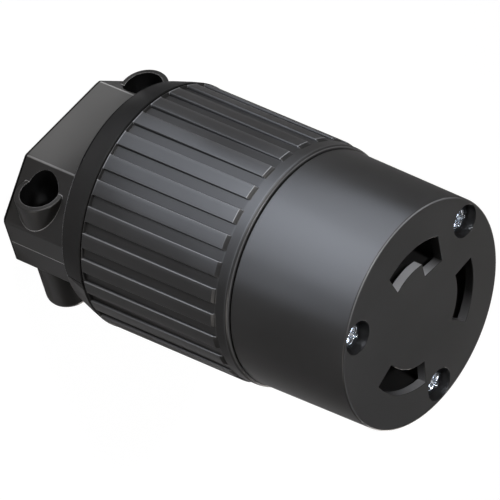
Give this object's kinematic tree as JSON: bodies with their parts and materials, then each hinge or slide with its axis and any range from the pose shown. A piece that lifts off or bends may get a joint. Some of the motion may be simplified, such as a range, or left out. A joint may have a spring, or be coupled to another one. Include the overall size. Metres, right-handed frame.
{
  "type": "locking cord connector",
  "caption": "Black locking cord connector: round face with curved slots, smooth nose, ribbed grip shell and a split eight-sided cord clamp with screw wells.",
  "frame": {"origin": "on the connector's axis, at the flat cord end that it stands on", "axes": "+Z along the axis out of the mating face, +Y towards the closed bosses of the clamp base, so that the clamp cap with its screw wells faces -Y"},
  "size_m": [0.0574, 0.0574, 0.0976],
  "materials": {
    "nylon": "satin moulded nylon, charcoal black",
    "insulator": "moulded insulator",
    "brass": "bright stamped and turned brass",
    "zinc": "bright zinc-plated steel"
  },
  "bodies": {
    "root": {"front_body": "nylon", "grip_shell": "nylon", "clamp_cap": "nylon", "clamp_base": "nylon", "contact_carrier": "insulator", "line_contact_1": "brass", "line_contact_2": "brass", "ground_contact": "brass", "wire_plate_1": "brass", "wire_plate_2": "brass", "wire_plate_3": "brass", "terminal_screw_1": "brass", "terminal_screw_2": "brass", "terminal_screw_3": "brass", "screw_insert_1": "brass", "screw_insert_2": "brass", "screw_insert_3": "brass", "clamp_insert_1": "brass", "clamp_insert_2": "brass", "face_screw_1": "zinc", "face_screw_2": "zinc", "face_screw_3": "zinc", "clamp_screw_1": "zinc", "clamp_screw_2": "zinc"}
  },
  "joints": []
}
